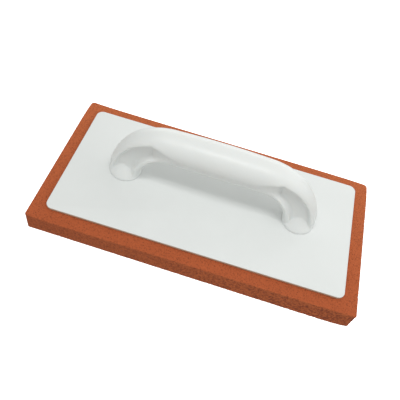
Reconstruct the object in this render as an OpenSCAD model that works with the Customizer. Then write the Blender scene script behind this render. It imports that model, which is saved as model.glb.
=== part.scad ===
// Grout float: a cellular rubber pad glued under a rigid backing plate, with an arched handle
// screwed on from below. X runs along the float, Z is up, and the origin is at the middle of
// the rubber's working face. Millimetres.

/* [Rubber pad] */
// Length of the rubber pad
pad_l = 280; // [240:5:340]
// Width of the rubber pad
pad_w = 140; // [110:5:170]
// Thickness of the rubber pad
pad_t = 20; // [8:1:30]
// Radius of the pad's upright corners
pad_corner_r = 3; // [1:0.5:8]

/* [Backing plate] */
// Rubber left bare at each end of the plate
plate_inset_end = 12; // [4:1:20]
// Rubber left bare along each side of the plate
plate_inset_side = 10; // [4:1:16]
// Thickness of the plate
plate_t = 2.8; // [2.6:0.2:5]
// Radius of the plate's corners
plate_corner_r = 6; // [2:1:15]
// Thickness of the adhesive between rubber and plate
glue_t = 0.3; // [0.2:0.1:0.6]
// How far the adhesive stops short of the plate's edge
glue_inset = 1.5; // [0.5:0.5:4]

/* [Handle] */
// Distance between the middles of the two feet
foot_pitch = 159; // [145:1:175]
// How far the handle sits behind the plate's long middle line
handle_shift = 2; // [-4:0.5:4]
// Height of the grip's axis above the plate, at mid length
grip_h = 47; // [44:1:58]
// Diameter of the grip at mid length
grip_d = 28.5; // [25:0.5:32]
// Diameter of the bar where each leg turns into the grip
bend_d = 27.5; // [25:0.5:30]
// Diameter of each leg where it meets its foot
leg_d = 28.5; // [26:0.5:30]
// Bend radius of the axis where each leg turns into the grip
bend_r = 38; // [32:1:40]
// Lean of each leg where the bend begins, in degrees
leg_lean = 40; // [34:1:42]
// Rise of the grip's axis at each end, in degrees, which crowns the grip
grip_crown = 1.5; // [1:0.5:5]

/* [Feet] */
// Diameter of each round foot
foot_d = 29.5; // [28:0.5:34]
// Height of the foot at its edge
foot_edge_h = 3.5; // [2.5:0.5:5]
// Rounding of the foot's top edge
foot_edge_r = 1.5; // [0.5:0.5:2]
// Rise of the domed foot top above the foot's edge
foot_dome_h = 6; // [5:0.5:8]
// Diameter of the locating peg under each foot
peg_d = 6; // [4:0.5:7]
// Length of the locating peg
peg_l = 2; // [1:0.5:2.5]
// Clearance round the peg in the plate
peg_clearance = 0.1; // [0.05:0.05:0.3]

/* [Leg recesses] */
// Thickness of the web between the front and rear recesses
web_t = 4; // [3:0.5:6]
// Wall left along the outside of the leg
outer_wall_t = 4.5; // [3:0.5:7]
// Wall left along the finger side of the leg
inner_wall_t = 4.5; // [3:0.5:6]
// Lean of the leg at the middle of the recess's rounded upper end, in degrees
recess_end_lean = 54; // [48:1:60]

/* [Screws] */
// Distance of each screw from the middle of its foot
screw_offset = 8.5; // [8:0.5:9]
// Outer diameter of the screw thread
screw_d = 4; // [3:0.5:4.5]
// Diameter of the countersunk head
screw_head_d = 7.5; // [6:0.5:8]
// Length of thread held in the foot
screw_bite = 5; // [4:0.5:5.5]
// Radial clearance of the thread in its pilot hole
pilot_clearance = 0.05; // [0.02:0.01:0.1]
// Radial clearance of the shank and the head in the plate
plate_clearance = 0.15; // [0.05:0.05:0.3]
// Depth of the pilot hole past the screw's tip
pilot_extra = 0.4; // [0.2:0.1:0.5]
// Width of the slots of the cross recess in the head
drive_slot_w = 0.8; // [0.6:0.1:1]
// Span of the cross recess
drive_span = 4; // [3:0.5:4.5]
// Depth of the cross recess
drive_depth = 1.2; // [0.8:0.1:1.5]

/* [Hidden] */
$fn = 96;

// Levels, from the working face up
glue_z = pad_t;
plate_z = glue_z + glue_t;
deck_z = plate_z + plate_t;

// Plans of the flat layers
plate_l = pad_l - 2 * plate_inset_end;
plate_w = pad_w - 2 * plate_inset_side;
glue_corner_r = max(plate_corner_r - glue_inset, 0.5);

// Handle axis, from the foot to the middle of the grip: a leg arc that leaves the plate
// upright, a tighter bend, and a long arc that crowns the grip. A point's angle on its arc is
// also the lean of the bar there.
foot_x = foot_pitch / 2;
grip_start = 90 - grip_crown;
crown_rise = tan(grip_crown / 2);
bend_run = bend_r * (cos(leg_lean) - cos(grip_start));
bend_rise = bend_r * (sin(grip_start) - sin(leg_lean));
leg_r = (grip_h - bend_rise - (foot_x - bend_run) * crown_rise)
    / (sin(leg_lean) - (1 - cos(leg_lean)) * crown_rise);
leg_centre = [foot_x - leg_r, 0];
bend_centre = leg_centre + (leg_r - bend_r) * [cos(leg_lean), sin(leg_lean)];
crown_r = bend_r + bend_centre[0] / sin(grip_crown);
crown_centre = [0, grip_h - crown_r];

// Rings of the bar: how many sides each has, and how many steps each arc takes
bar_sides = 28;
leg_steps = 6;
bend_steps = 10;
crown_steps = 8;

// Leg recesses, measured across the leg from its axis
recess_out = leg_d / 2 - outer_wall_t;
recess_in = leg_d / 2 - inner_wall_t;
recess_end_r = (recess_out + recess_in) / 2;
recess_mid = (recess_out - recess_in) / 2;
recess_end_steps = 12;

// Foot dome, as a cap of a sphere standing on the foot's rounded edge
dome_base_r = foot_d / 2 - foot_edge_r;
dome_r = (pow(dome_base_r, 2) + pow(foot_dome_h, 2)) / (2 * foot_dome_h);

// Screws: 90 degree countersunk heads, flush with the underside of the plate
screw_r = screw_d / 2;
screw_head_r = screw_head_d / 2;
screw_head_h = screw_head_r - screw_r;
screw_l = plate_t + screw_bite;
screw_tip_l = screw_r / 2;
pilot_depth = screw_bite + pilot_extra;
cut_past = 1;

// A rectangle with rounded corners, centred on the origin
module rounded_rect(l, w, r) {
    square([l - 2 * r, w], center = true);
    square([l, w - 2 * r], center = true);
    for (x = [-1, 1], y = [-1, 1])
        translate([x * (l / 2 - r), y * (w / 2 - r)])
            circle(r = r);
}

module rubber_pad() {
    color([0.72, 0.33, 0.20])
        linear_extrude(height = pad_t)
            rounded_rect(pad_l, pad_w, pad_corner_r);
}

module adhesive_layer() {
    color([0.80, 0.72, 0.50])
        translate([0, 0, glue_z])
            linear_extrude(height = glue_t)
                rounded_rect(plate_l - 2 * glue_inset, plate_w - 2 * glue_inset, glue_corner_r);
}

// Places its children at both feet, on top of the plate
module at_feet() {
    for (x = [-foot_x, foot_x])
        translate([x, handle_shift, deck_z])
            children();
}

// Places its children at the two screws of a foot
module at_foot_screws() {
    for (y = [-screw_offset, screw_offset])
        translate([0, y, 0])
            children();
}

module screw_clearance_hole() {
    head_z = -plate_t;
    translate([0, 0, head_z - cut_past])
        cylinder(r = screw_r + plate_clearance, h = plate_t + 2 * cut_past);
    translate([0, 0, head_z])
        cylinder(r1 = screw_head_r + plate_clearance, r2 = screw_r + plate_clearance, h = screw_head_h);
}

module backing_plate() {
    color([0.92, 0.93, 0.94])
        difference() {
            translate([0, 0, plate_z])
                linear_extrude(height = plate_t)
                    rounded_rect(plate_l, plate_w, plate_corner_r);
            at_feet() {
                translate([0, 0, -plate_t - cut_past])
                    cylinder(r = peg_d / 2 + peg_clearance, h = plate_t + 2 * cut_past);
                at_foot_screws()
                    screw_clearance_hole();
            }
        }
}

// A direction in the handle's upright plane, by its angle from the horizontal
function heading(angle) = [cos(angle), sin(angle)];

// A station is [point on the axis, lean of the bar, diameter of the bar]
function arc_stations(centre, r, from, to, steps, d_from, d_to) =
    [for (i = [0:steps])
        let (part = i / steps, lean = from + (to - from) * part)
            [centre + r * heading(lean), lean, d_from + (d_to - d_from) * sin(90 * part)]];

// All but the last item of a list
function without_last(list) = [for (i = [0:len(list) - 2]) list[i]];

// The right half of the bar, from its foot to the middle of the grip
leg_stations = arc_stations(leg_centre, leg_r, 0, leg_lean, leg_steps, leg_d, leg_d);
bend_stations = arc_stations(bend_centre, bend_r, leg_lean, grip_start, bend_steps, leg_d, bend_d);
crown_stations = arc_stations(crown_centre, crown_r, grip_start, 90, crown_steps, bend_d, grip_d);
half_stations = concat(without_last(leg_stations), without_last(bend_stations), crown_stations);

// The same station on the other half
function mirrored(station) = [[-station[0][0], station[0][1]], 180 - station[1], station[2]];

bar_stations = concat(without_last(half_stations),
    [for (i = [len(half_stations) - 1:-1:0]) mirrored(half_stations[i])]);

// A point at a station, so far out from the axis and so far across the handle
function beside(station, out, across) =
    let (flat = station[0] + out * heading(station[1]))
        [flat[0], across, flat[1]];

function bar_ring(station) =
    [for (i = [0:bar_sides - 1])
        let (turn = 360 * i / bar_sides)
            beside(station, station[2] / 2 * cos(turn), station[2] / 2 * sin(turn))];

// The arched bar of the handle, foot to foot
module bar() {
    rings = len(bar_stations);
    last = (rings - 1) * bar_sides;
    polyhedron(
        points = [for (station = bar_stations) each bar_ring(station)],
        faces = concat(
            [[for (i = [0:bar_sides - 1]) i]],
            [[for (i = [bar_sides - 1:-1:0]) last + i]],
            [for (r = [0:rings - 2], i = [0:bar_sides - 1])
                let (a = r * bar_sides + i, b = r * bar_sides + (i + 1) % bar_sides)
                    each [[a, a + bar_sides, b], [b, a + bar_sides, b + bar_sides]]]),
        convexity = 6);
}

// Outline of the right leg's recess: up its outside, round its upper end and down its inside
function recess_outline() =
    let (
        bend = arc_stations(bend_centre, bend_r, leg_lean, recess_end_lean, bend_steps, 0, 0),
        run = concat(without_last(leg_stations), bend),
        end = bend_centre + (bend_r + recess_mid) * heading(recess_end_lean),
        foot = leg_stations[0][0] - [0, cut_past])
    concat(
        [foot + [recess_out, 0]],
        [for (station = run) station[0] + recess_out * heading(station[1])],
        [for (i = [1:recess_end_steps - 1])
            end + recess_end_r * heading(recess_end_lean + 180 * i / recess_end_steps)],
        [for (i = [len(run) - 1:-1:0]) run[i][0] - recess_in * heading(run[i][1])],
        [foot - [recess_in, 0]]);

// The front and rear recesses of the right leg, either side of the web
module leg_recesses() {
    for (side = [0, 1])
        mirror([0, side, 0])
            translate([0, -web_t / 2, 0])
                rotate([90, 0, 0])
                    linear_extrude(height = leg_d / 2)
                        polygon(recess_outline());
}

// A round foot: an edge with a rounded rim, and a dome that fills the bottom of the recesses
module foot() {
    rotate_extrude() {
        square([foot_d / 2, foot_edge_h - foot_edge_r]);
        square([dome_base_r, foot_edge_h]);
        intersection() {
            translate([dome_base_r, foot_edge_h - foot_edge_r])
                circle(r = foot_edge_r);
            square([foot_d, foot_edge_h]);
        }
    }
    intersection() {
        translate([0, 0, foot_edge_h + foot_dome_h - dome_r])
            sphere(r = dome_r);
        cylinder(r = dome_base_r, h = foot_edge_h + foot_dome_h);
    }
}

module handle() {
    color([0.95, 0.95, 0.94])
        difference() {
            union() {
                translate([0, handle_shift, deck_z])
                    difference() {
                        bar();
                        for (side = [0, 1])
                            mirror([side, 0, 0])
                                leg_recesses();
                    }
                at_feet() {
                    foot();
                    translate([0, 0, -peg_l])
                        cylinder(d = peg_d, h = peg_l + foot_edge_h);
                }
            }
            at_feet()
                at_foot_screws()
                    translate([0, 0, -cut_past])
                        cylinder(r = screw_r + pilot_clearance, h = pilot_depth + cut_past);
        }
}

// A countersunk screw that points up, with the face of its head at z = 0
module countersunk_screw() {
    difference() {
        union() {
            cylinder(r1 = screw_head_r, r2 = screw_r, h = screw_head_h);
            cylinder(r = screw_r, h = screw_l - screw_tip_l);
            translate([0, 0, screw_l - screw_tip_l])
                cylinder(r1 = screw_r, r2 = screw_r / 2, h = screw_tip_l);
        }
        for (turn = [0, 90])
            rotate([0, 0, turn])
                translate([-drive_span / 2, -drive_slot_w / 2, -cut_past])
                    cube([drive_span, drive_slot_w, drive_depth + cut_past]);
    }
}

// The screw at one end (-1 left, 1 right) and one side (-1 front, 1 rear) of the handle
module placed_screw(end, side) {
    color([0.70, 0.71, 0.73])
        translate([end * foot_x, handle_shift + side * screw_offset, plate_z])
            countersunk_screw();
}

module screw_left_front() {
    placed_screw(-1, -1);
}

module screw_left_rear() {
    placed_screw(-1, 1);
}

module screw_right_front() {
    placed_screw(1, -1);
}

module screw_right_rear() {
    placed_screw(1, 1);
}

rubber_pad();
adhesive_layer();
backing_plate();
handle();
screw_left_front();
screw_left_rear();
screw_right_front();
screw_right_rear();
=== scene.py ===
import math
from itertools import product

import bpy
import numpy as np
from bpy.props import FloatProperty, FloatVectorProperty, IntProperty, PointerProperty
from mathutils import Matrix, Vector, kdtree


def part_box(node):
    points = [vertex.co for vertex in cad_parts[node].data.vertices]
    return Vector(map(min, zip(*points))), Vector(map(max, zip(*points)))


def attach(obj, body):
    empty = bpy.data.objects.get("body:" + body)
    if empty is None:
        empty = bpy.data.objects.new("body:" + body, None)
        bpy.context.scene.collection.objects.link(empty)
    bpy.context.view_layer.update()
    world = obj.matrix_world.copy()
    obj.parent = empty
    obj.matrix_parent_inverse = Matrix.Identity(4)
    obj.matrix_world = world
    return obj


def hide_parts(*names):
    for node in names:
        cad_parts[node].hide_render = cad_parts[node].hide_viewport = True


bl_info = {
    "name": "Grout Float",
    "version": (1, 0, 0),
    "blender": (4, 5, 0),
    "location": "View3D > Sidebar > Grout Float",
    "description": "Finishes the pieces of a grout float and sets them in a white studio",
    "category": "Object",
}

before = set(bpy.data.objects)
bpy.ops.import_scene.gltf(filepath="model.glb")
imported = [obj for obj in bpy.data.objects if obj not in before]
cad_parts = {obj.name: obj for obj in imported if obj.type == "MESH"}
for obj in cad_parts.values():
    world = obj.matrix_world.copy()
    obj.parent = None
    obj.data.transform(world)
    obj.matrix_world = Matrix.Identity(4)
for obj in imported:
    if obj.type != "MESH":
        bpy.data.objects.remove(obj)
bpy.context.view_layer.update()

MM = 0.001
WHOLE_BODY = "root"

PAD_LOW, PAD_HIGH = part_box("rubber_pad")
GLUE_LOW, GLUE_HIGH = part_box("adhesive_layer")
PLATE_LOW, PLATE_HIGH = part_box("backing_plate")
HANDLE_LOW, HANDLE_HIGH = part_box("handle")
PAD_HALF = (PAD_HIGH - PAD_LOW) / 2
SCREW_NODES = ("screw_left_front", "screw_left_rear", "screw_right_front", "screw_right_rear")
SCREW_LOW, SCREW_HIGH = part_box(SCREW_NODES[3])
# How near a point has to be to a flat face to lie in it, and how steeply a screw's tip tapers
FLUSH = 0.01 * MM
TIP_TAPER = 1.1
PORE_SEED = 41

# Each soft light's name, place, length and width
LIGHTS = (
    ("top_light", (0, -0.25, 1.0), 0.72, 0.22),
    ("right_light", (0.97, 0, 0.70), 0.7, 0.5),
    ("rear_light", (0.69, 0.69, 0.70), 0.7, 0.5),
    ("back_panel", (0, 0.48, 0.112), 0.96, 0.2),
    ("front_panel", (0, -1.2, 0.28), 2.4, 0.5),
)


# ---------------------------------------------------------------- sizes and colours

class PadSettings(bpy.types.PropertyGroup):
    """Shape and colour of the cellular rubber pad"""

    back_corner: FloatProperty(
        name="Back corners", description="Radius of the pad's two upright corners at the back",
        default=3 * MM, unit="LENGTH")
    front_corner: FloatProperty(
        name="Front corners", description="Radius of the pad's two upright corners at the front",
        default=1.2 * MM, unit="LENGTH")
    edge_radius: FloatProperty(
        name="Edge radius", description="Rounding of the pad's top and bottom edges",
        default=0.7 * MM, unit="LENGTH")
    swell: FloatProperty(
        name="Swell", description="How far the rubber stands out past its nominal size all round",
        default=0.5 * MM, unit="LENGTH")
    front_swell: FloatProperty(
        name="Front swell", description="How much further the front face stands out between its corners",
        default=0.75 * MM, unit="LENGTH")
    back_skew: FloatProperty(
        name="Back skew", description="How far the pad's two corners at the back are out of square",
        default=1.1 * MM, unit="LENGTH")
    front_twist: FloatProperty(
        name="Front twist",
        description="How far the front face leans out towards its left end and in towards its right",
        default=0.8 * MM, unit="LENGTH")
    spacing: FloatProperty(
        name="Spacing", description="Distance between the points of the skin",
        default=0.6 * MM, unit="LENGTH")
    pore_small: FloatProperty(
        name="Small pores", description="Radius of the smallest open pores",
        default=0.4 * MM, unit="LENGTH")
    pore_large: FloatProperty(
        name="Large pores", description="Radius of the largest open pores",
        default=1.3 * MM, unit="LENGTH")
    pore_depth: FloatProperty(
        name="Pore depth", description="Depth of the largest open pores",
        default=0.5 * MM, unit="LENGTH")
    pore_count: IntProperty(
        name="Pores", description="How many open pores are cut into the pad's skin",
        default=9000)
    rubber: FloatVectorProperty(
        name="Rubber", description="Colour of the rubber at the front of the top",
        default=(0.475, 0.108, 0.036), subtype="COLOR")
    # Painted light: the rubber lighter along the back, for the light and sheen from behind, and on the sides,
    # most towards the right
    painted_light_rubber: FloatVectorProperty(
        name="Painted light rubber", description="Colour of the rubber along the back and on its cut sides",
        default=(0.57, 0.152, 0.052), subtype="COLOR")
    # Painted shade deep in the open pores
    pore: FloatVectorProperty(
        name="Pore", description="Colour deep in an open pore",
        default=(0.23, 0.053, 0.025), subtype="COLOR")


class PlateSettings(bpy.types.PropertyGroup):
    """Shape and colour of the backing plate and of the adhesive under it"""

    corner_radius: FloatProperty(
        name="Corner radius", description="Radius of the plate's corners",
        default=6 * MM, unit="LENGTH")
    edge_radius: FloatProperty(
        name="Edge radius", description="Easing of the plate's top and bottom edges",
        default=0.5 * MM, unit="LENGTH")
    peg_hole_d: FloatProperty(
        name="Peg hole", description="Diameter of the hole for each foot's peg",
        default=6.2 * MM, unit="LENGTH")
    screw_hole_d: FloatProperty(
        name="Screw hole", description="Diameter of the hole for each screw's shank",
        default=4.3 * MM, unit="LENGTH")
    glue_wander: FloatProperty(
        name="Glue wander", description="How far the adhesive's edge wanders inwards",
        default=1.6 * MM, unit="LENGTH")
    plastic: FloatVectorProperty(
        name="Plastic", description="Colour of the plate",
        default=(0.735, 0.755, 0.748), subtype="COLOR")
    # Painted shade: the plate's side and underside, darker and brownish
    painted_side_shade: FloatVectorProperty(
        name="Painted side shade", description="Colour of the plate's side, painted with brownish shade",
        default=(0.52, 0.39, 0.28), subtype="COLOR")
    glue: FloatVectorProperty(
        name="Adhesive", description="Colour of the cured adhesive",
        default=(0.52, 0.42, 0.24), subtype="COLOR")


class HandleSettings(bpy.types.PropertyGroup):
    """Shape and colour of the arched handle"""

    grip_d: FloatProperty(
        name="Grip", description="Diameter of the grip at mid length",
        default=28.5 * MM, unit="LENGTH")
    bend_d: FloatProperty(
        name="Bend", description="Diameter of the bar where each leg turns into the grip",
        default=27.5 * MM, unit="LENGTH")
    leg_d: FloatProperty(
        name="Leg", description="Diameter of each leg where it meets its foot",
        default=28.5 * MM, unit="LENGTH")
    bend_r: FloatProperty(
        name="Bend radius", description="Radius of the axis where each leg turns into the grip",
        default=38 * MM, unit="LENGTH")
    leg_lean: FloatProperty(
        name="Leg lean", description="Lean of each leg where the bend begins",
        default=math.radians(40), subtype="ANGLE")
    grip_crown: FloatProperty(
        name="Grip crown", description="Rise of the grip's axis at each end",
        default=math.radians(1.5), subtype="ANGLE")
    foot_d: FloatProperty(
        name="Foot", description="Diameter of each round foot",
        default=28.9 * MM, unit="LENGTH")
    foot_h: FloatProperty(
        name="Foot height", description="Height of the foot's domed top at its middle",
        default=16.5 * MM, unit="LENGTH")
    foot_power: FloatProperty(
        name="Foot power", description="Shape of the foot's top, from 1 for a cone to 2 for a full dome",
        default=1.6)
    foot_edge_h: FloatProperty(
        name="Foot edge", description="Height of the foot at its edge",
        default=1.5 * MM, unit="LENGTH")
    foot_blend: FloatProperty(
        name="Foot blend", description="Reach of the blend between a leg and its foot",
        default=1 * MM, unit="LENGTH")
    peg_d: FloatProperty(
        name="Peg", description="Diameter of the locating peg under each foot",
        default=6 * MM, unit="LENGTH")
    pilot_d: FloatProperty(
        name="Pilot hole", description="Diameter of the pilot hole for each screw",
        default=4.1 * MM, unit="LENGTH")
    web_t: FloatProperty(
        name="Web", description="Thickness of the web between the front and rear recesses",
        default=11.5 * MM, unit="LENGTH")
    wall_t: FloatProperty(
        name="Wall", description="Wall outside a leg recess, at the recess's upper end",
        default=8.3 * MM, unit="LENGTH")
    wall_taper: FloatProperty(
        name="Wall taper", description="How much thinner that wall is at the foot",
        default=3 * MM, unit="LENGTH")
    inner_wall_t: FloatProperty(
        name="Inner wall", description="Wall between a leg recess and the finger gap",
        default=7 * MM, unit="LENGTH")
    squareness: FloatProperty(
        name="Squareness", description="How square the bar is on the fingers' side, where 2 is round",
        default=2.5)
    recess_lean: FloatProperty(
        name="Recess end", description="Lean of the leg where the recess ends",
        default=math.radians(64), subtype="ANGLE")
    fillet: FloatProperty(
        name="Fillet", description="Fillet between the walls and the web of a recess",
        default=2.5 * MM, unit="LENGTH")
    rim: FloatProperty(
        name="Rim", description="Rounding of the recess's outer rim",
        default=5 * MM, unit="LENGTH")
    waist: FloatProperty(
        name="Waist", description="How much narrower a leg is at the plate, as a share of its width",
        default=0.28)
    waist_h: FloatProperty(
        name="Waist height", description="Height above the plate at which a leg has its full width",
        default=20 * MM, unit="LENGTH")
    inner_rim: FloatProperty(
        name="Inner rim", description="Rounding of the recess's rim on the fingers' side",
        default=6 * MM, unit="LENGTH")
    scoop_end: FloatProperty(
        name="Scoop end", description="Distance from mid length at which the scoop runs out",
        default=33 * MM, unit="LENGTH")
    scoop_rise: FloatProperty(
        name="Scoop rise", description="How much higher the scoop's upper edge is at the recess",
        default=10.5 * MM, unit="LENGTH")
    spacing: FloatProperty(
        name="Spacing", description="Distance between the points of the handle's surface",
        default=0.6 * MM, unit="LENGTH")
    plastic: FloatVectorProperty(
        name="Plastic", description="Colour of the handle",
        default=(0.770, 0.785, 0.776), subtype="COLOR")


class ScrewSettings(bpy.types.PropertyGroup):
    """Shape and colour of the four screws"""

    shank_d: FloatProperty(
        name="Thread", description="Outer diameter of the thread",
        default=4 * MM, unit="LENGTH")
    root_d: FloatProperty(
        name="Root", description="Diameter at the root of the thread",
        default=2.9 * MM, unit="LENGTH")
    pitch: FloatProperty(
        name="Pitch", description="Distance from one turn of the thread to the next",
        default=1.6 * MM, unit="LENGTH")
    drive_span: FloatProperty(
        name="Drive", description="Span of the cross recess in the head",
        default=4 * MM, unit="LENGTH")
    steel: FloatVectorProperty(
        name="Steel", description="Colour of the plated steel",
        default=(0.60, 0.61, 0.63), subtype="COLOR")


class StudioSettings(bpy.types.PropertyGroup):
    """Light, floor and viewpoint"""

    sky: FloatProperty(
        name="Sky", description="Brightness of the light from all round", default=0.52)
    top_light: FloatProperty(
        name="Top light", description="Power of the softbox above the float",
        default=4.2, unit="POWER")
    right_light: FloatProperty(
        name="Right light", description="Power of the softbox at the float's right",
        default=1.75, unit="POWER")
    rear_light: FloatProperty(
        name="Rear light", description="Power of the softbox at the right behind the float",
        default=1.1, unit="POWER")
    back_panel: FloatProperty(
        name="Back panel", description="Power of the low panel behind the float",
        default=0.93, unit="POWER")
    front_panel: FloatProperty(
        name="Front panel", description="Power of the low panel in front of the float",
        default=1.6, unit="POWER")
    floor_glow: FloatProperty(
        name="Floor glow", description="How much light the floor gives off by itself",
        default=1.0)
    floor: FloatVectorProperty(
        name="Floor", description="Colour of the floor",
        default=(0.9, 0.9, 0.9), subtype="COLOR")
    azimuth: FloatProperty(
        name="Azimuth", description="Camera's turn round the float",
        default=math.radians(4.264), subtype="ANGLE")
    elevation: FloatProperty(
        name="Elevation", description="Camera's height above the horizon",
        default=math.radians(53.789), subtype="ANGLE")
    roll: FloatProperty(
        name="Roll", description="Camera's turn about its own line of sight",
        default=math.radians(13.579), subtype="ANGLE")
    distance: FloatProperty(
        name="Distance", description="Distance from the camera to the point it looks at",
        default=436.75 * MM, unit="LENGTH")
    lens: FloatProperty(
        name="Lens", description="Focal length of the camera", default=44.85, unit="CAMERA")


class FloatSettings(bpy.types.PropertyGroup):
    """All the settings of the grout float"""

    pad: PointerProperty(type=PadSettings)
    plate: PointerProperty(type=PlateSettings)
    handle: PointerProperty(type=HandleSettings)
    screw: PointerProperty(type=ScrewSettings)
    studio: PointerProperty(type=StudioSettings)


# ---------------------------------------------------------------- finishes

class Finish:
    """A new material with one Principled shader, and short ways to add texture to it"""

    def __init__(self, name, **sockets):
        self.material = bpy.data.materials.new(name)
        self.material.use_nodes = True
        self.tree = self.material.node_tree
        self.shader = self.tree.nodes["Principled BSDF"]
        for socket, value in sockets.items():
            self.shader.inputs[socket.replace("_", " ")].default_value = value
        self.place = self.tree.nodes.new("ShaderNodeTexCoord").outputs["Object"]

    def link(self, value, socket):
        """Feeds a socket with a node's output, or sets it to a plain number"""
        if isinstance(value, bpy.types.NodeSocket):
            self.tree.links.new(value, socket)
        else:
            socket.default_value = value

    def noise(self, size, detail=2.0, roughness=0.5, stretch=(1, 1, 1)):
        """Soft noise whose blobs are about `size` across, from 0 to 1"""
        place = self.tree.nodes.new("ShaderNodeMapping")
        place.inputs["Scale"].default_value = [s / size for s in stretch]
        self.tree.links.new(self.place, place.inputs["Vector"])
        node = self.tree.nodes.new("ShaderNodeTexNoise")
        node.inputs["Scale"].default_value = 1.0
        node.inputs["Detail"].default_value = detail
        node.inputs["Roughness"].default_value = roughness
        self.tree.links.new(place.outputs["Vector"], node.inputs["Vector"])
        return node.outputs["Fac"]

    def clouds(self, size, detail, low=0.0, high=1.0):
        """Soft noise that fills the whole range from low to high"""
        return self.stretch(self.noise(size, detail), 0.3, 0.7, low, high)

    def along(self, axis):
        """Place along one axis"""
        node = self.tree.nodes.new("ShaderNodeSeparateXYZ")
        self.tree.links.new(self.place, node.inputs["Vector"])
        return node.outputs[axis]

    def cells(self, size):
        """Distance from the middle of the nearest of many scattered cells, in cell widths"""
        node = self.tree.nodes.new("ShaderNodeTexVoronoi")
        node.inputs["Scale"].default_value = 1 / size
        self.tree.links.new(self.place, node.inputs["Vector"])
        return node.outputs["Distance"]

    def stretch(self, value, low, high, out_low=0.0, out_high=1.0):
        """Moves values between low and high to the new range, and holds them inside it"""
        node = self.tree.nodes.new("ShaderNodeMapRange")
        for socket, number in zip(node.inputs[1:5], (low, high, out_low, out_high)):
            socket.default_value = number
        self.link(value, node.inputs["Value"])
        return node.outputs["Result"]

    def larger(self, first, second):
        """The larger of two values"""
        node = self.tree.nodes.new("ShaderNodeMath")
        node.operation = "MAXIMUM"
        self.link(first, node.inputs[0])
        self.link(second, node.inputs[1])
        return node.outputs["Value"]

    def blend(self, share, first, second):
        """A colour between two colours"""
        node = self.tree.nodes.new("ShaderNodeMix")
        node.data_type = "RGBA"
        self.link(share, node.inputs["Factor"])
        for socket, colour in zip([s for s in node.inputs if s.type == "RGBA"], (first, second)):
            self.link(colour if isinstance(colour, bpy.types.NodeSocket) else (*colour, 1), socket)
        return next(s for s in node.outputs if s.type == "RGBA")

    def shades(self, share, colour, dark, light):
        """A colour between a darker and a lighter version of itself"""
        return self.blend(share, tinted(colour, dark), tinted(colour, light))

    def attribute(self, name):
        """A value that each point of the mesh holds"""
        node = self.tree.nodes.new("ShaderNodeAttribute")
        node.attribute_name = name
        return node.outputs["Fac"]

    def bump(self, height, depth):
        """Adds relief so deep to the shader's normal"""
        node = self.tree.nodes.new("ShaderNodeBump")
        node.inputs["Distance"].default_value = depth
        self.link(height, node.inputs["Height"])
        normal = self.shader.inputs["Normal"]
        if normal.is_linked:
            self.tree.links.new(normal.links[0].from_socket, node.inputs["Normal"])
        self.tree.links.new(node.outputs["Normal"], normal)

    def paint(self, colour):
        """Gives the shader its colour"""
        self.link(colour, self.shader.inputs["Base Color"])

    def roughen(self, value):
        """Gives the shader its roughness"""
        self.link(value, self.shader.inputs["Roughness"])


def tinted(colour, factor):
    """A lighter or darker version of a colour"""
    return tuple(min(c * factor, 1.0) for c in colour)


def rubber_finish(s):
    """Cellular rubber: mottled orange-red and matt, painted lighter along the back for the light and sheen
    from behind and painted lighter on the sides, most towards the right, as painted light, with open pores
    that are painted darker inside as painted shade"""
    f = Finish("cellular_rubber", Specular_IOR_Level=0.25)
    mottle = f.clouds(9 * MM, 4)
    front = f.shades(mottle, s.rubber, 0.95, 1.05)
    # Rubber painted lighter, as painted light and sheen from behind and as painted light on the sides
    back = f.shades(mottle, s.painted_light_rubber, 0.95, 1.05)
    # Share of painted light: growing towards the back, and on the sides
    painted_light_share = f.larger(f.stretch(f.along("Y"), PAD_LOW.y, PAD_HIGH.y), f.attribute("cut"))
    body = f.blend(painted_light_share, front, back)
    grain = f.noise(0.8 * MM, 3, 0.65)
    body = f.blend(f.stretch(grain, 0.32, 0.62), tinted(s.rubber, 0.78), body)
    # Small pores from the shader: painted shade at each cell's middle, dented by the same cells' bump below
    fine = f.stretch(f.cells(1.3 * MM), 0.16, 0.34)
    body = f.blend(fine, tinted(s.rubber, 0.65), body)
    # Painted shade in the open pores, darker where a pore is deeper
    f.paint(f.blend(f.attribute("pore"), body, s.pore))
    f.roughen(f.stretch(grain, 0.3, 0.7, 0.82, 0.98))
    f.bump(grain, 0.35 * MM)
    f.bump(fine, 0.3 * MM)
    return f.material


def plate_finish(s):
    """White moulded sheet: faint cloudiness, a satin grain, a few light scuffs and a side painted with
    brownish shade
    """
    f = Finish("plate_plastic", Specular_IOR_Level=0.4)
    body = f.shades(f.clouds(55 * MM, 3), s.plastic, 0.985, 1.015)
    scuff = f.noise(1.2 * MM, 4, 0.7, stretch=(0.06, 1, 1))
    body = f.blend(f.stretch(scuff, 0.68, 0.8), body, tinted(s.plastic, 0.95))
    # Painted shade below the top's edge, over the plate's side and underside
    above_side_shade = f.stretch(f.along("Z"), PLATE_HIGH.z - 0.8 * MM, PLATE_HIGH.z - 0.3 * MM)
    f.paint(f.blend(above_side_shade, s.painted_side_shade, body))
    f.roughen(f.clouds(14 * MM, 4, 0.42, 0.56))
    f.bump(f.noise(0.45 * MM, 2), 0.02 * MM)
    f.bump(scuff, 0.012 * MM)
    return f.material


def handle_finish(s):
    """White moulding: soft satin, slightly uneven gloss, and a fine skin texture"""
    f = Finish("handle_plastic", Specular_IOR_Level=0.45, Subsurface_Weight=0.6, Subsurface_Scale=3 * MM,
               Subsurface_Radius=(1.0, 0.95, 0.9))
    f.paint(f.shades(f.clouds(30 * MM, 3), s.plastic, 0.985, 1.01))
    f.roughen(f.clouds(8 * MM, 4, 0.34, 0.48))
    f.bump(f.noise(0.5 * MM, 2), 0.015 * MM)
    f.bump(f.noise(6 * MM, 1), 0.05 * MM)
    return f.material


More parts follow.
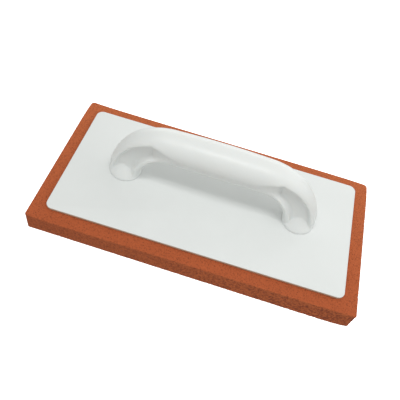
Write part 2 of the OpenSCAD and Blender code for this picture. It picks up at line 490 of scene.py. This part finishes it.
def glue_finish(s):
    """Cured contact adhesive: amber, glossy in places, with brush ridges"""
    f = Finish("contact_adhesive", Specular_IOR_Level=0.5)
    streak = f.noise(1.5 * MM, 3, 0.6, stretch=(1, 0.15, 1))
    f.paint(f.shades(f.stretch(streak, 0.3, 0.7), s.glue, 0.8, 1.15))
    f.roughen(f.clouds(5 * MM, 3, 0.3, 0.6))
    f.bump(streak, 0.08 * MM)
    return f.material


def steel_finish(s):
    """Zinc-plated steel: bright, with a fine uneven plating"""
    f = Finish("screw_steel", Metallic=1.0)
    cloud = f.noise(1.2 * MM, 4, 0.6)
    f.paint(f.shades(f.stretch(cloud, 0.3, 0.7), s.steel, 0.88, 1.08))
    f.roughen(f.stretch(cloud, 0.3, 0.7, 0.24, 0.42))
    f.bump(f.noise(0.15 * MM, 2), 0.006 * MM)
    return f.material


# ---------------------------------------------------------------- meshes

def new_object(name, points, faces, material, smooth=True):
    """An object at the origin, whose mesh holds its place"""
    mesh = bpy.data.meshes.new(name)
    mesh.from_pydata(np.asarray(points).tolist(), [], faces)
    mesh.update()
    mesh.materials.append(material)
    if smooth:
        mesh.shade_smooth()
    else:
        mesh.shade_flat()
    thing = bpy.data.objects.new(name, mesh)
    bpy.context.scene.collection.objects.link(thing)
    return thing


def dress(piece, node):
    """Makes a piece ride on the float and stand for its CAD node"""
    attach(piece, WHOLE_BODY)
    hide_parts(node)


def soften(piece, angle):
    """Shades a piece smooth except at edges sharper than the angle"""
    piece.data.set_sharp_from_angle(angle=angle)


def cut_away(piece, cutters):
    """Subtracts the cutters from a piece's mesh, and deletes them"""
    for cutter in cutters:
        cut = piece.modifiers.new(cutter.name, "BOOLEAN")
        cut.operation = "DIFFERENCE"
        cut.solver = "EXACT"
        cut.object = cutter
    ready = piece.evaluated_get(bpy.context.evaluated_depsgraph_get())
    mesh = bpy.data.meshes.new_from_object(ready)
    piece.modifiers.clear()
    piece.data = mesh
    for cutter in cutters:
        bpy.data.objects.remove(cutter)


def turned(name, profile, axis_at, material, sides=48):
    """A closed solid turned about an upright axis from (radius, height) points, low to high"""
    turns = np.arange(sides) * 2 * math.pi / sides
    rings = [
        np.stack([axis_at[0] + r * np.cos(turns), axis_at[1] + r * np.sin(turns), turns * 0 + z], -1)
        for r, z in profile
    ]
    return new_object(name, np.concatenate(rings), tube_faces(len(profile), sides), material)


def tube_faces(rings, sides):
    """Faces of a closed tube of rings stacked upwards, capped at both ends"""
    sheet = [
        (a, b, b + sides, a + sides)
        for row in range(rings - 1)
        for a, b in ((row * sides + i, row * sides + (i + 1) % sides) for i in range(sides))
    ]
    top = (rings - 1) * sides
    return sheet + [tuple(range(sides - 1, -1, -1)), tuple(range(top, top + sides))]


def rounded_outline(length, width, radii, counts):
    """Points round a rectangle, anticlockwise from its right side. The radii are those of its four corners.
    The counts are those of the long sides, the short sides and the corners, so that all the outlines of a
    slab have as many points"""
    along, across, round_corner = counts
    out = []
    for quarter in range(4):
        turn = quarter * math.pi / 2
        half = (length / 2, width / 2) if quarter % 2 == 0 else (width / 2, length / 2)
        steps = across if quarter % 2 == 0 else along
        radius = radii[quarter]
        side = np.linspace(-half[1] + radii[quarter - 1], half[1] - radius, steps, endpoint=False)
        bend = np.linspace(0, math.pi / 2, round_corner, endpoint=False)
        x = np.concatenate([np.full(steps, half[0]), half[0] - radius + radius * np.cos(bend)])
        y = np.concatenate([side, half[1] - radius + radius * np.sin(bend)])
        out.append(np.stack([x * math.cos(turn) - y * math.sin(turn),
                             x * math.sin(turn) + y * math.cos(turn)], -1))
    return np.concatenate(out)


def slab_points(low, high, corners, profile, counts):
    """Rings of a rounded slab from (inset, height) points, listed from the underside upwards. The corners
    are the radii at its back and at its front"""
    middle = (low + high) / 2
    size = high - low
    least = 0.5 * MM
    rings = []
    for inset, z in profile:
        back, front = [max(corner - inset, least) for corner in corners]
        radii = (back, back, front, front)
        flat = rounded_outline(size.x - 2 * inset, size.y - 2 * inset, radii, counts)
        rings.append(np.column_stack([flat[:, 0] + middle.x, flat[:, 1] + middle.y, np.full(len(flat), z)]))
    return np.concatenate(rings)


def rounded_profile(low_z, high_z, edge_r, spacing, border):
    """A slab's section as (inset, height) points, from its underside's edge up the side and in over the
    border of its top, with eased edges"""
    steps = max(int(edge_r * math.pi / 2 / spacing), 3)
    turns = [i * math.pi / 2 / steps for i in range(steps + 1)]
    edge = [(edge_r - edge_r * math.sin(t), edge_r - edge_r * math.cos(t)) for t in turns]
    under = [(inset, low_z + rise) for inset, rise in edge]
    over = [(inset, high_z - rise) for inset, rise in reversed(edge)]
    side = np.arange(low_z + edge_r + spacing, high_z - edge_r - spacing / 2, spacing)
    bare = np.arange(border, 0, -spacing * 1.15)[::-1]
    return under + [(0.0, z) for z in side] + over + [(edge_r + b, high_z) for b in bare]


# ---------------------------------------------------------------- rubber pad

def pad_wander(points, s):
    """The pad as it was cut from the sheet: a little oversize, with a slightly twisted front face and with
    back corners that are out of square"""
    x, y, z = points.T
    right, rear = x / PAD_HALF.x, y / PAD_HALF.y
    front = np.clip(-rear, 0, 1) ** 4 * (1 - right ** 16)
    low = np.clip(1 - z / (PAD_HIGH.z - PAD_LOW.z), 0, 1)
    twist = s.front_twist * right * (1.4 * low - 0.4)
    out = s.swell * rear - front * (s.front_swell + twist)
    skew = s.back_skew * right ** 9 * np.clip(rear, 0, 1) ** 9
    return np.column_stack([x * (1 + s.swell / PAD_HALF.x) - skew, y + out - skew, z])


def to_the_right(points):
    """How far along the pad each point lies, from 0 at its left end to 1 at its right"""
    return (points[:, 0] - PAD_LOW.x) / (PAD_HIGH.x - PAD_LOW.x)


def scatter_pores(points, normals, s):
    """Depth below the skin for each point, from open pores scattered over the pad, larger to the right"""
    rng = np.random.default_rng(PORE_SEED)
    tree = kdtree.KDTree(len(points))
    for i, p in enumerate(points):
        tree.insert(p, i)
    tree.balance()
    depth = np.zeros(len(points))
    sideways = 1 - np.abs(normals[:, 2])
    along = to_the_right(points)
    on_top, closed_h = 0.10, 5 * MM
    chance = on_top + sideways * np.clip((PAD_HIGH.z - points[:, 2]) / closed_h, 0, 1)
    chosen = rng.choice(len(points), s.pore_count, p=chance / chance.sum())
    growth = s.pore_large - s.pore_small
    for centre in chosen:
        big = rng.random() ** 1.8 * (0.3 + 0.7 * along[centre])
        side = sideways[centre]
        radius = s.pore_small + growth * big * (0.25 + 0.75 * side)
        deep = s.pore_depth * (0.35 + 0.65 * big) * (0.4 + 0.6 * side)
        for _, i, away in tree.find_range(points[centre], radius):
            depth[i] = max(depth[i], deep * (1 - (away / radius) ** 2))
    return depth


def build_pad(s):
    """The cellular rubber pad, with a skin of real pores"""
    size = PAD_HIGH - PAD_LOW
    counts = [int(length / s.spacing) for length in (size.x, size.y, s.back_corner * math.pi / 2)]
    border = (size.x - (PLATE_HIGH.x - PLATE_LOW.x)) / 2
    profile = rounded_profile(PAD_LOW.z, PAD_HIGH.z, s.edge_radius, s.spacing, border)
    points = slab_points(PAD_LOW, PAD_HIGH, (s.back_corner, s.front_corner), profile, counts)
    sides = len(points) // len(profile)
    pad = new_object("rubber_pad_skin", points, tube_faces(len(profile), sides), rubber_finish(s))
    normals = np.array([v.normal for v in pad.data.vertices])
    under_plate = points[:, 2] > PAD_HIGH.z - FLUSH
    under_plate &= np.abs(points[:, 0]) < PLATE_HIGH.x
    under_plate &= np.abs(points[:, 1]) < PLATE_HIGH.y
    flat = under_plate | (points[:, 2] < PAD_LOW.z + FLUSH)
    depth = np.where(flat, 0, scatter_pores(points, normals, s))
    points = pad_wander(points - normals * depth[:, None], s)
    pad.data.vertices.foreach_set("co", points.ravel())
    # Share of painted light on the sides, growing towards the right
    cut = (1 - np.abs(normals[:, 2])) * (0.3 + 0.9 * to_the_right(points))
    # The share of painted shade in each pore follows its depth
    for name, value in (("pore", depth / s.pore_depth * 1.2), ("cut", cut)):
        mark = pad.data.attributes.new(name, "FLOAT", "POINT")
        mark.data.foreach_set("value", np.clip(value, 0, 1).astype(np.float32))
    pad.data.update()
    dress(pad, "rubber_pad")


# ---------------------------------------------------------------- plate and adhesive

def build_glue(s):
    """The adhesive film, whose edge wanders a little under the plate"""
    counts = (260, 130, 6)
    waves = (3, 11, 23, 47, 83)
    profile = [(0.0, GLUE_LOW.z), (0.0, GLUE_HIGH.z)]
    points = slab_points(GLUE_LOW, GLUE_HIGH, [s.corner_radius] * 2, profile, counts)
    sides = len(points) // len(profile)
    turn = np.arange(sides) * 2 * math.pi / sides
    wave = sum(np.sin(turn * n + n * n) / k for k, n in enumerate(waves, 1))
    highest_wave = 2.3
    shrink = s.glue_wander * (0.5 - 0.5 * wave / highest_wave).clip(0, 1)
    half = GLUE_HIGH - (GLUE_LOW + GLUE_HIGH) / 2
    scale = 1 - np.tile(shrink, 2)[:, None] / np.array([half.x, half.y])
    points[:, :2] *= scale
    glue = new_object("adhesive_film", points, tube_faces(2, sides), glue_finish(s))
    soften(glue, math.radians(40))
    dress(glue, "adhesive_layer")


def foot_places():
    """The middles of the two feet on top of the plate"""
    reach = (SCREW_LOW.x + SCREW_HIGH.x) / 2
    shift = (HANDLE_LOW.y + HANDLE_HIGH.y) / 2
    return [Vector((side * reach, shift, PLATE_HIGH.z)) for side in (-1, 1)]


def build_plate(s):
    """The backing plate, with eased edges, the holes for the pegs and the countersunk screw holes"""
    counts = (24, 12, 16)
    profile = rounded_profile(PLATE_LOW.z, PLATE_HIGH.z, s.edge_radius, 0.4 * MM, 0)
    points = slab_points(PLATE_LOW, PLATE_HIGH, [s.corner_radius] * 2, profile, counts)
    sides = len(points) // len(profile)
    finish = plate_finish(s)
    plate = new_object("plate_sheet", points, tube_faces(len(profile), sides), finish)
    past, head_ease = 1 * MM, 0.15 * MM
    low, high = PLATE_LOW.z - past, PLATE_HIGH.z + past
    peg_r, hole_r = s.peg_hole_d / 2, s.screw_hole_d / 2
    peg_hole = [(peg_r, low), (peg_r, high)]
    cutters = [turned("peg_hole", peg_hole, place, finish) for place in foot_places()]
    for node in SCREW_NODES:
        box_low, box_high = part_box(node)
        sunk_r = (box_high.x - box_low.x) / 2 + head_ease
        screw_hole = [(sunk_r + past, low), (hole_r, PLATE_LOW.z + sunk_r - hole_r), (hole_r, high)]
        cutters.append(turned("screw_hole", screw_hole, (box_low + box_high) / 2, finish))
    cut_away(plate, cutters)
    soften(plate, math.radians(35))
    dress(plate, "backing_plate")


# ---------------------------------------------------------------- handle

def soft_least(a, b, reach):
    """The smaller of two fields, blended where they are within reach of each other"""
    share = np.clip(0.5 + 0.5 * (b - a) / reach, 0, 1)
    return b * (1 - share) + a * share - reach * share * (1 - share)


def soft_most(a, b, reach):
    """The larger of two fields, blended in the same way"""
    return -soft_least(-a, -b, reach)


def rounded_meet(parts, radius):
    """The space that lies inside all the parts, with rounded edges"""
    inner = np.minimum(np.maximum.reduce(parts) + radius, 0)
    outer = np.sqrt(sum(np.maximum(part + radius, 0) ** 2 for part in parts))
    return inner + outer - radius


class HandleShape:
    """The handle as a field that is negative inside it: x along the float, y across it from the handle's
    own middle plane, z up from the plate"""

    def __init__(self, s):
        self.s = s
        self.foot_x = foot_places()[1].x
        grip_h = HANDLE_HIGH.z - PLATE_HIGH.z - s.grip_d / 2
        self.grip_start = math.pi / 2 - s.grip_crown
        crown_rise = math.tan(s.grip_crown / 2)
        bend_run = s.bend_r * (math.cos(s.leg_lean) - math.cos(self.grip_start))
        bend_rise = s.bend_r * (math.sin(self.grip_start) - math.sin(s.leg_lean))
        self.leg_r = (grip_h - bend_rise - (self.foot_x - bend_run) * crown_rise) / (
            math.sin(s.leg_lean) - (1 - math.cos(s.leg_lean)) * crown_rise)
        self.leg_centre = (self.foot_x - self.leg_r, 0.0)
        reach = self.leg_r - s.bend_r
        self.bend_centre = (self.leg_centre[0] + reach * math.cos(s.leg_lean), reach * math.sin(s.leg_lean))
        self.crown_r = s.bend_r + self.bend_centre[0] / math.sin(s.grip_crown)
        self.crown_centre = (0.0, grip_h - self.crown_r)

    def along_bar(self, x, z):
        """Lean of the bar, distance out from its axis, and its radius"""
        s = self.s
        arcs = ((self.leg_centre, self.leg_r), (self.bend_centre, s.bend_r),
                (self.crown_centre, self.crown_r))
        leans = [np.arctan2(z - centre[1], x - centre[0]) for centre, _ in arcs]
        outs = [np.hypot(x - centre[0], z - centre[1]) - r for centre, r in arcs]
        leg = leans[0] < s.leg_lean
        bend = ~leg & (leans[1] < self.grip_start) & (leans[1] > 0)
        lean = np.where(leg, leans[0], np.where(bend, leans[1], leans[2]))
        out = np.where(leg, outs[0], np.where(bend, outs[1], outs[2]))
        bend_part = np.clip((lean - s.leg_lean) / (self.grip_start - s.leg_lean), 0, 1)
        crown_part = np.clip((lean - self.grip_start) / s.grip_crown, 0, 1)
        radius = (s.leg_d + (s.bend_d - s.leg_d) * np.sin(bend_part * math.pi / 2)
                  + (s.grip_d - s.bend_d) * np.sin(crown_part * math.pi / 2)) / 2
        return lean, out, radius

    def bar(self, out, across, radius):
        """The bar's section: round on the palm's side, a little squarer on the fingers' side"""
        round_side = np.hypot(out, across) - radius
        power = self.s.squareness
        square_side = (np.abs(out) ** power + across ** power) ** (1 / power) - radius
        return np.where(out > 0, round_side, square_side)

    def hollow(self, x, lean, out, across):
        """The recess on each face of a leg, down to the web, and the scoop by which it runs out along the
        grip's side"""
        s = self.s
        recess_x = self.bend_centre[0] + s.bend_r * math.cos(s.recess_lean)
        part = np.clip((x - s.scoop_end) / (recess_x - s.scoop_end), 0, 1)
        floor = s.grip_d / 2 - (s.grip_d / 2 - s.web_t / 2) * part ** 2
        wall = s.wall_t - s.wall_taper * (1 - np.clip(lean / s.recess_lean, 0, 1) ** 2)
        outer = s.leg_d / 2 - wall - s.scoop_rise * (1 - part)
        inner = s.leg_d / 2 - s.inner_wall_t
        return rounded_meet([floor - across, out - outer, -inner - out], s.fillet)

    def foot(self, x, y, z):
        """The round foot, with a domed top"""
        s = self.s
        edge_r = 1 * MM
        foot_r = s.foot_d / 2
        from_axis = np.hypot(x - self.foot_x, y)
        rise = s.foot_h - s.foot_edge_h
        above = z - s.foot_h + rise * (from_axis / foot_r) ** s.foot_power
        return soft_most(above * foot_r / math.hypot(foot_r, rise), from_axis - foot_r, edge_r)

    def holes(self, x, y, z):
        """Pilot holes for the two screws of each foot, which taper round the screws' tips"""
        s = self.s
        end_r, past = 0.45 * MM, 0.4 * MM
        offset = (SCREW_LOW.y + SCREW_HIGH.y) / 2 - foot_places()[1].y
        from_axis = np.hypot(x - self.foot_x, np.abs(y) - offset)
        to_top = SCREW_HIGH.z - PLATE_HIGH.z + past - z
        hole_r = np.minimum(to_top * TIP_TAPER + end_r, s.pilot_d / 2)
        return np.maximum(from_axis - hole_r, -to_top)

    def field(self, x, y, z):
        """The whole handle: the hollowed bar on its feet, cut off at the plate, with its pegs and holes"""
        s = self.s
        rim_change, sole_r = 10 * MM, 0.3 * MM
        x, across = np.abs(x), np.abs(y)
        lean, out, radius = self.along_bar(x, z)
        waist = 1 - s.waist * np.clip(1 - z / s.waist_h, 0, 1) ** 2
        body = self.bar(out, across / waist, radius)
        inward = np.clip(0.5 - out / rim_change, 0, 1)
        body = soft_most(body, -self.hollow(x, lean, out, across), s.rim + (s.inner_rim - s.rim) * inward)
        from_edge = s.foot_d / 2 - np.hypot(x - self.foot_x, y)
        body = soft_least(body, self.foot(x, y, z), s.foot_blend * np.clip(from_edge / s.foot_blend, 0.1, 1))
        body = soft_most(body, -z, sole_r)
        peg = np.maximum(np.hypot(x - self.foot_x, y) - s.peg_d / 2, HANDLE_LOW.z - PLATE_HIGH.z - z)
        body = np.minimum(body, np.maximum(peg, z - s.foot_edge_h))
        return np.maximum(body, -self.holes(x, y, z))


def crossed_cells(field):
    """Which cells of a lattice the surface crosses"""
    inside = field < 0
    cells = [n - 1 for n in field.shape]
    corners = [inside[tuple(slice(o, o + n) for o, n in zip(offset, cells))]
               for offset in product((0, 1), repeat=3)]
    count = sum(corner.astype(np.int8) for corner in corners)
    return (count > 0) & (count < 8)


def surface_net(field, origin, step):
    """Points and quads of the surface where a field on a lattice is zero: one point for each crossed cell,
    and one quad for each crossed lattice edge"""
    crossed = crossed_cells(field)
    cells = np.argwhere(crossed)
    total = np.zeros((len(cells), 3))
    hits = np.zeros((len(cells), 1))
    for axis in range(3):
        for pair in product((0, 1), repeat=2):
            start = cells + np.insert(pair, axis, 0)
            end = cells + np.insert(pair, axis, 1)
            a, b = field[tuple(start.T)], field[tuple(end.T)]
            cut = (a < 0) != (b < 0)
            spot = start[cut].astype(float)
            spot[:, axis] += a[cut] / (a[cut] - b[cut])
            total[cut] += spot
            hits[cut] += 1
    points = np.asarray(origin) + step * total / hits
    number = np.full(crossed.shape, -1)
    number[crossed] = np.arange(len(cells))
    inside = field < 0
    quads = []
    for axis in range(3):
        one, two = [a for a in range(3) if a != axis]
        here = [slice(1, -1)] * 3
        here[axis] = slice(0, -1)
        there = list(here)
        there[axis] = slice(1, None)
        leaves = inside[tuple(here)] & ~inside[tuple(there)]
        enters = ~inside[tuple(here)] & inside[tuple(there)]
        for mask, forward in ((leaves, True), (enters, False)):
            spots = np.argwhere(mask)
            spots[:, one] += 1
            spots[:, two] += 1
            ring = []
            for back_one, back_two in ((1, 1), (0, 1), (0, 0), (1, 0)):
                cell = spots.copy()
                cell[:, one] -= back_one
                cell[:, two] -= back_two
                ring.append(number[tuple(cell.T)])
            if forward == (axis == 1):
                ring.reverse()
            quads.append(np.stack(ring, -1))
    return points, np.concatenate(quads)


def settle(points, field, nudge, rounds=4):
    """Moves points on to the surface along the field's own slope, in short steps"""
    least_steep, longest, tiny = 0.05, nudge * 8, 1e-12
    for _ in range(rounds):
        value = field(*points.T)
        slope = np.zeros_like(points)
        for axis in range(3):
            ahead, behind = points.copy(), points.copy()
            ahead[:, axis] += nudge
            behind[:, axis] -= nudge
            slope[:, axis] = (field(*ahead.T) - field(*behind.T)) / (2 * nudge)
        steep = np.maximum((slope ** 2).sum(1), least_steep)
        move = -(value / steep)[:, None] * slope
        reach = np.linalg.norm(move, axis=1)[:, None]
        points = points + move * np.minimum(1, longest / np.maximum(reach, tiny))
    return points


def build_handle(s):
    """The handle, as one smooth moulding"""
    shape = HandleShape(s)
    step = s.spacing
    shift = (HANDLE_LOW.y + HANDLE_HIGH.y) / 2
    to_world = np.array([0, shift, PLATE_HIGH.z])
    margin_low, margin_high = 2.3 * step, 3 * step
    low = np.array(HANDLE_LOW) - to_world - margin_low
    high = np.array(HANDLE_HIGH) - to_world + margin_high
    axes = [np.arange(a, b, step) for a, b in zip(low, high)]
    field = shape.field(*np.meshgrid(*axes, indexing="ij"))
    points, quads = surface_net(field, low, step)
    points = settle(points, shape.field, step / 12)
    handle = new_object("handle_moulding", points + to_world, quads.tolist(), handle_finish(s))
    dress(handle, "handle")


# ---------------------------------------------------------------- screws

def build_screw(s, node, finish):
    """A countersunk screw with a rolled thread and a cross recess"""
    low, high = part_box(node)
    middle = (low + high) / 2
    head_r = (high.x - low.x) / 2
    root_r, thread_r, tip_r = s.root_d / 2, s.shank_d / 2, 0.35 * MM
    length = high.z - low.z
    rim_h, head_h = 0.25 * MM, head_r - thread_r
    neck, thread_start, runout = 0.3 * MM, head_h + 0.6 * MM, 1.2 * MM
    ridge_share = 4.4
    sides, rows = 40, 110
    turn = np.arange(sides) * 2 * math.pi / sides
    heights = np.concatenate([[0, rim_h], np.linspace(rim_h + 0.1 * MM, length, rows)])
    rings = []
    for z in heights:
        cone = head_r - max(z - rim_h, 0) * (head_r - root_r) / (head_h + neck)
        tip = (length - z) * TIP_TAPER + tip_r
        wave = (z / s.pitch - turn / (2 * math.pi)) % 1
        ridge = np.clip(1 - np.abs(wave - 0.5) * ridge_share, 0, 1)
        fade = np.clip((z - thread_start) / runout, 0, 1)
        r = np.maximum(root_r + (thread_r - root_r) * ridge * fade, cone)
        r = np.minimum(r, min(tip, head_r))
        rings.append(np.column_stack([middle.x + r * np.cos(turn), middle.y + r * np.sin(turn),
                                      np.full(sides, low.z + z)]))
    screw = new_object(node + "_threaded", np.concatenate(rings), tube_faces(len(rings), sides), finish)
    cutters = [drive_blade(s, low.z, middle, quarter, finish) for quarter in (0, 1)]
    cut_away(screw, cutters)
    soften(screw, math.radians(38))
    dress(screw, node)


def drive_blade(s, face_z, middle, quarter, finish):
    """One blade of the cross recess, which tapers inwards"""
    half, half_inside = s.drive_span / 2, s.drive_span / 2 * 0.45
    deep, wide, past = 1.3 * MM, 0.42 * MM, 0.5 * MM
    outline = [(-half, -past), (-half_inside, deep), (half_inside, deep), (half, -past)]
    taper = {-past: wide, deep: wide * 0.7}
    points = []
    for side in (-1, 1):
        for along, up in outline:
            flat = Vector((along, side * taper[up], 0))
            flat.rotate(Matrix.Rotation(quarter * math.pi / 2, 3, "Z"))
            points.append((middle.x + flat.x, middle.y + flat.y, face_z + up))
    faces = [(0, 1, 2, 3), (7, 6, 5, 4), (0, 4, 5, 1), (1, 5, 6, 2), (2, 6, 7, 3), (3, 7, 4, 0)]
    return new_object("drive_blade", points, faces, finish)


# ---------------------------------------------------------------- studio

def build_floor(s):
    """A wide white floor just under the pad"""
    half, height = 4.0, -0.5 * MM
    corners = [(-half, -half, height), (half, -half, height), (half, half, height), (-half, half, height)]
    finish = Finish("floor", Emission_Strength=s.floor_glow, Roughness=0.9, Specular_IOR_Level=0.0)
    finish.shader.inputs["Emission Color"].default_value = (1, 1, 1, 1)
    grain = finish.noise(300 * MM, 2)
    finish.paint(finish.blend(grain, tinted(s.floor, 0.995), s.floor))
    floor = new_object("floor", corners, [(0, 1, 2, 3)], finish.material, smooth=False)
    floor.visible_diffuse = False
    floor.visible_glossy = False
    floor.visible_shadow = False


def build_light(name, place, length, width, power):
    """A rectangular soft light that faces the float"""
    lamp = bpy.data.lights.new(name, "AREA")
    lamp.shape = "RECTANGLE"
    lamp.size = length
    lamp.size_y = width
    lamp.energy = power
    holder = bpy.data.objects.new(name, lamp)
    bpy.context.scene.collection.objects.link(holder)
    holder.location = place
    holder.rotation_mode = "QUATERNION"
    holder.rotation_quaternion = Vector(place).to_track_quat("Z", "Y")
    holder.visible_camera = False


def build_sky(s):
    """Even light from all round"""
    world = bpy.data.worlds.new("white_studio")
    world.use_nodes = True
    glow = world.node_tree.nodes["Background"]
    glow.inputs["Color"].default_value = (0.985, 1.0, 0.965, 1)
    glow.inputs["Strength"].default_value = s.sky
    bpy.context.scene.world = world


def build_camera(s):
    """The camera, aimed a little to the left and front of the plate's middle"""
    aim = Vector((-7.57 * MM, -7.51 * MM, PLATE_HIGH.z))
    back = Vector((math.sin(s.azimuth) * math.cos(s.elevation),
                   -math.cos(s.azimuth) * math.cos(s.elevation), math.sin(s.elevation)))
    camera = bpy.data.objects.new("camera", bpy.data.cameras.new("camera"))
    bpy.context.scene.collection.objects.link(camera)
    camera.data.lens = s.lens
    camera.data.clip_start = 10 * MM
    camera.location = aim + back * s.distance
    level = (-back).to_track_quat("-Z", "Y").to_matrix()
    camera.rotation_mode = "QUATERNION"
    camera.rotation_quaternion = (level @ Matrix.Rotation(s.roll, 3, "Z")).to_quaternion()
    bpy.context.scene.camera = camera


# ---------------------------------------------------------------- operators and panel

class STUDIO_OT_build(bpy.types.Operator):
    """Set up the camera, the floor and the lights"""

    bl_idname = "grout_float.build_studio"
    bl_label = "Build Studio"

    def execute(self, context):
        s = context.scene.grout_float.studio
        build_camera(s)
        build_sky(s)
        build_floor(s)
        for name, place, length, width in LIGHTS:
            build_light(name, place, length, width, getattr(s, name))
        context.scene.view_settings.view_transform = "Standard"
        return {"FINISHED"}


class PAD_OT_build(bpy.types.Operator):
    """Build the cellular rubber pad"""

    bl_idname = "grout_float.build_pad"
    bl_label = "Build Rubber Pad"

    def execute(self, context):
        build_pad(context.scene.grout_float.pad)
        return {"FINISHED"}


class GLUE_OT_build(bpy.types.Operator):
    """Build the film of adhesive"""

    bl_idname = "grout_float.build_adhesive"
    bl_label = "Build Adhesive"

    def execute(self, context):
        build_glue(context.scene.grout_float.plate)
        return {"FINISHED"}


class PLATE_OT_build(bpy.types.Operator):
    """Build the backing plate"""

    bl_idname = "grout_float.build_plate"
    bl_label = "Build Backing Plate"

    def execute(self, context):
        build_plate(context.scene.grout_float.plate)
        return {"FINISHED"}


class HANDLE_OT_build(bpy.types.Operator):
    """Build the arched handle"""

    bl_idname = "grout_float.build_handle"
    bl_label = "Build Handle"

    def execute(self, context):
        build_handle(context.scene.grout_float.handle)
        return {"FINISHED"}


class SCREWS_OT_build(bpy.types.Operator):
    """Build the four screws that hold the handle"""

    bl_idname = "grout_float.build_screws"
    bl_label = "Build Screws"

    def execute(self, context):
        s = context.scene.grout_float.screw
        finish = steel_finish(s)
        for node in SCREW_NODES:
            build_screw(s, node, finish)
        return {"FINISHED"}


STEPS = (STUDIO_OT_build, PAD_OT_build, GLUE_OT_build, PLATE_OT_build, HANDLE_OT_build, SCREWS_OT_build)


class FLOAT_PT_panel(bpy.types.Panel):
    """Lists the steps and the main settings of the grout float"""

    bl_idname = "FLOAT_PT_panel"
    bl_label = "Grout Float"
    bl_space_type = "VIEW_3D"
    bl_region_type = "UI"
    bl_category = "Grout Float"

    def draw(self, context):
        settings = context.scene.grout_float
        for step in STEPS:
            self.layout.operator(step.bl_idname)
        for group in (settings.pad, settings.plate, settings.handle, settings.screw, settings.studio):
            box = self.layout.box()
            box.label(text=type(group).__doc__)
            for name in type(group).__annotations__:
                box.prop(group, name)


CLASSES = (PadSettings, PlateSettings, HandleSettings, ScrewSettings, StudioSettings, FloatSettings,
           *STEPS, FLOAT_PT_panel)


def register():
    for cls in CLASSES:
        bpy.utils.register_class(cls)
    bpy.types.Scene.grout_float = PointerProperty(type=FloatSettings)


def unregister():
    del bpy.types.Scene.grout_float
    for cls in reversed(CLASSES):
        bpy.utils.unregister_class(cls)


def main():
    """Builds every piece and the studio"""
    register()
    bpy.ops.grout_float.build_studio()
    bpy.ops.grout_float.build_pad()
    bpy.ops.grout_float.build_adhesive()
    bpy.ops.grout_float.build_plate()
    bpy.ops.grout_float.build_handle()
    bpy.ops.grout_float.build_screws()
    bpy.context.view_layer.update()


if __name__ == "__main__":
    main()
